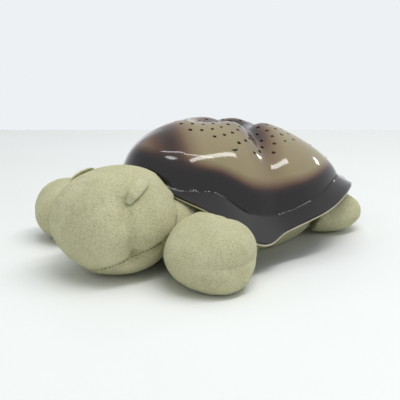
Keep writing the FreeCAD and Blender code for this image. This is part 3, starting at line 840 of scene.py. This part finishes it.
def stitches(name, route, sink, pitch):
    """Short thread stitches along a seam."""
    curve = bpy.data.curves.new(name, "CURVE")
    curve.dimensions = "3D"
    curve.bevel_depth = THREAD_R
    for a, b in zip(route, route[1:]):
        steps = max(1, int(np.linalg.norm(b - a) / pitch))
        for k in range(steps):
            p = a + (b - a) * ((k + 0.15) / steps)
            q = a + (b - a) * ((k + 0.75) / steps)
            line = curve.splines.new("POLY")
            line.points.add(1)
            for point, at in zip(line.points, (p, q)):
                out = (at - HEAD_CENTRE) / np.linalg.norm(at - HEAD_CENTRE)
                point.co = (*(at - out * (sink - 0.6 * MM)), 1)
    data = bpy.data.meshes.new_from_object(bpy.data.objects.new(name, curve))
    obj = add_object(name, data, thread_mat)
    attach(obj, "base")


# Eyelids: the directions of their ends, and their half width and height over the face
LID_TOP = (96, 50)
LID_FRONT = (59, 31)
LID_HALF = 5.5 * MM
LID_LIFT = 3.6 * MM


def build_lid(side, node, head):
    """A folded fabric strip over the closed eye, its lower edge standing off the face."""
    steps, across = 28, 12
    route = []
    for k in range(steps + 1):
        t = k / steps
        route.append((side * (LID_TOP[0] + (LID_FRONT[0] - LID_TOP[0]) * t),
                      LID_TOP[1] + (LID_FRONT[1] - LID_TOP[1]) * t + 5 * math.sin(math.pi * t)))
    middle = mirrored(head, route, 1)
    verts = []
    for k, at in enumerate(middle):
        ahead = middle[min(k + 1, steps)] - middle[max(k - 1, 0)]
        ahead /= np.linalg.norm(ahead)
        out = (at - HEAD_CENTRE) / np.linalg.norm(at - HEAD_CENTRE)
        wide = np.cross(ahead, out) * side
        taper = math.sin(math.pi * min(1, max(0, (k + 2.2) / (steps + 4.4)))) ** 0.45
        for j in range(across):
            turn = 2 * math.pi * j / across
            w = LID_HALF * taper * math.cos(turn)
            lift = (0.4 * MM + LID_LIFT * taper * (0.55 + 0.45 * math.sin(turn))
                    + 1.1 * MM * max(0, -math.cos(turn)) - 0.6 * MM * (w / LID_HALF) ** 2)
            verts.append(at + wide * w + out * lift)
    faces = []
    for k in range(steps):
        for j in range(across):
            after = (j + 1) % across
            a = k * across
            b = a + across
            faces.append([a + j, a + after, b + after, b + j])
    faces.append(list(range(across))[::-1])
    faces.append([steps * across + j for j in range(across)])
    lid = add_object(node + "_fold", mesh_of(node + "_fold", verts, faces), lid_mat)
    bm = bmesh.new()
    bm.from_mesh(lid.data)
    bmesh.ops.recalc_face_normals(bm, faces=bm.faces)
    bm.to_mesh(lid.data)
    bm.free()
    subdivide(lid, 2)
    hand_in(lid, node)


# Belly flap: how fine its mesh is, and its sewn line's place, width and depth
FLAP_VOXEL = 0.7 * MM
FLAP_SEAM_IN = 4 * MM
FLAP_SEAM_WIDTH = 0.8 * MM
FLAP_SEAM_DEPTH = 0.3 * MM


def build_flap():
    """The belly flap: one cloth pad with a sewn line round its rim."""
    node = "belly_flap"
    low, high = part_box(node)
    obj = copy_of(node, "belly_flap_cloth", velour("belly_velour", VELOUR_LIGHT, VELOUR_DARK))
    remesh(obj, FLAP_VOXEL, 3)
    co = points(obj)
    middle = (low + high) / 2
    rim = np.minimum(high.x - middle.x - np.abs(co[:, 0] - middle.x),
                     high.y - middle.y - np.abs(co[:, 1] - middle.y))
    seam = np.exp(-((rim - FLAP_SEAM_IN) / FLAP_SEAM_WIDTH) ** 2)
    co[:, 2] += np.where(co[:, 2] > middle.z, -1, 1) * FLAP_SEAM_DEPTH * seam
    set_points(obj, co)
    for poly in obj.data.polygons:
        poly.use_smooth = True
    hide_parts(node)
    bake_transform(obj)


# Camera and light, at the photograph's viewing angle
CAMERA_AZIMUTH = 47.5
CAMERA_ELEVATION = 14.3
CAMERA_DISTANCE = 754.9 * MM
CAMERA_AIM = Vector((18.4 * MM, -62.3 * MM + SHELL_Y, 45 * MM))
FOCAL_PIXELS = 902.6
FRAME_PIXELS = 400
FLOOR_SIDE = 5.0
FLOOR_BEHIND = 0.6
SENSOR = 36.0
# Bright panels that the glossy shell mirrors: start and end in the shell frame, width in m, power
PANELS = (
    ("window_strip", (0.40, -0.58, 1.22), (0.45, 0.65, 1.12), 0.13, 5.6),
    ("window_bar", (0.10, -0.42, 1.25), (0.55, 0.05, 1.25), 0.03, 0.9),
    ("rear_glint", (-0.05, 1.20, 0.60), (0.11, 1.20, 0.60), 0.05, 0.6),
)


def place_camera():
    """The camera at the photograph's viewing angle."""
    a, e = math.radians(CAMERA_AZIMUTH), math.radians(CAMERA_ELEVATION)
    back = Vector((math.sin(a) * math.cos(e), -math.cos(a) * math.cos(e), math.sin(e)))
    data = bpy.data.cameras.new("camera")
    data.sensor_width = SENSOR
    data.lens = FOCAL_PIXELS / FRAME_PIXELS * SENSOR
    data.clip_start = 0.01
    cam = bpy.data.objects.new("camera", data)
    scene.collection.objects.link(cam)
    cam.location = CAMERA_AIM + back * CAMERA_DISTANCE
    cam.rotation_euler = back.to_track_quat("Z", "Y").to_euler()
    scene.camera = cam


def area_light(name, place, target, size, power):
    """A broad soft light that the shell doesn't mirror."""
    data = bpy.data.lights.new(name, "AREA")
    data.shape = "RECTANGLE"
    data.size, data.size_y = size
    data.energy = power
    lamp = bpy.data.objects.new(name, data)
    lamp.visible_glossy = False
    scene.collection.objects.link(lamp)
    lamp.location = place
    lamp.rotation_euler = (Vector(target) - Vector(place)).to_track_quat("-Z", "Y").to_euler()


def strip_light(name, start, end, width, power):
    """A narrow panel from start to end, in the shell frame, that faces the dome."""
    start = Vector(start) + Vector((0, SHELL_Y, 0))
    end = Vector(end) + Vector((0, SHELL_Y, 0))
    along = (end - start).normalized()
    facing = (start + end) / 2 - Vector((0, SHELL_Y, 0.07))
    up = facing.cross(along).normalized()
    facing = along.cross(up)
    data = bpy.data.lights.new(name, "AREA")
    data.shape = "RECTANGLE"
    data.size = (end - start).length
    data.size_y = width
    data.energy = power
    lamp = bpy.data.objects.new(name, data)
    scene.collection.objects.link(lamp)
    turn = Matrix((along, up, facing)).transposed().to_4x4()
    lamp.matrix_world = Matrix.Translation((start + end) / 2) @ turn


def build_world():
    """Even fill light, with a pale backdrop where it is seen or mirrored."""
    world = bpy.data.worlds.new("studio")
    scene.world = world
    world.use_nodes = True
    tree = world.node_tree
    tree.nodes.clear()
    out = tree.nodes.new("ShaderNodeOutputWorld")
    path = tree.nodes.new("ShaderNodeLightPath")
    seen = tree.nodes.new("ShaderNodeBackground")
    seen.inputs[0].default_value = srgb(237, 241, 244)
    fill = tree.nodes.new("ShaderNodeBackground")
    fill.inputs[0].default_value = (0.93, 0.97, 1.0, 1)
    fill.inputs[1].default_value = 0.50
    shown = path.outputs["Is Camera Ray"]
    for ray in ("Is Glossy Ray", "Is Transmission Ray"):
        either = tree.nodes.new("ShaderNodeMath")
        either.operation = "MAXIMUM"
        tree.links.new(shown, either.inputs[0])
        tree.links.new(path.outputs[ray], either.inputs[1])
        shown = either.outputs[0]
    mix = tree.nodes.new("ShaderNodeMixShader")
    tree.links.new(shown, mix.inputs[0])
    tree.links.new(fill.outputs[0], mix.inputs[1])
    tree.links.new(seen.outputs[0], mix.inputs[2])
    tree.links.new(mix.outputs[0], out.inputs[0])


def build_floor():
    """A plain pale floor that ends behind the part."""
    n = Nodes("studio_floor")
    n.link(n.ramp(n.noise(2.0), [(0.3, srgb(234, 236, 233)), (0.7, srgb(240, 242, 240))]),
           n.shader.inputs["Base Color"])
    n.put(Roughness=0.55, Specular_IOR_Level=0.25)
    a = math.radians(CAMERA_AZIMUTH)
    ahead = Vector((-math.sin(a), math.cos(a), 0))
    across = Vector((math.cos(a), math.sin(a), 0))
    middle = Vector((CAMERA_AIM.x, CAMERA_AIM.y, 0))
    corners = [middle + across * x + ahead * y for x, y in
               ((-FLOOR_SIDE, -FLOOR_SIDE), (FLOOR_SIDE, -FLOOR_SIDE),
                (FLOOR_SIDE, FLOOR_BEHIND), (-FLOOR_SIDE, FLOOR_BEHIND))]
    data = mesh_of("floor", corners, [[0, 1, 2, 3]])
    floor = add_object("floor", data, n.mat)


finish_cad_nodes()
build_shell()
head_cover = build_head()
for side_sign, lid_node in ((1, "eyelid_left"), (-1, "eyelid_right")):
    build_lid(side_sign, lid_node, head_cover)
build_soft_pieces()
build_flap()
place_camera()
build_world()
build_floor()
area_light("overhead", (0.1, 0.1, 1.3), (0, 0, 0), (1.6, 1.2), 6.3)
for panel_name, panel_start, panel_end, panel_width, panel_power in PANELS:
    strip_light(panel_name, panel_start, panel_end, panel_width, panel_power)
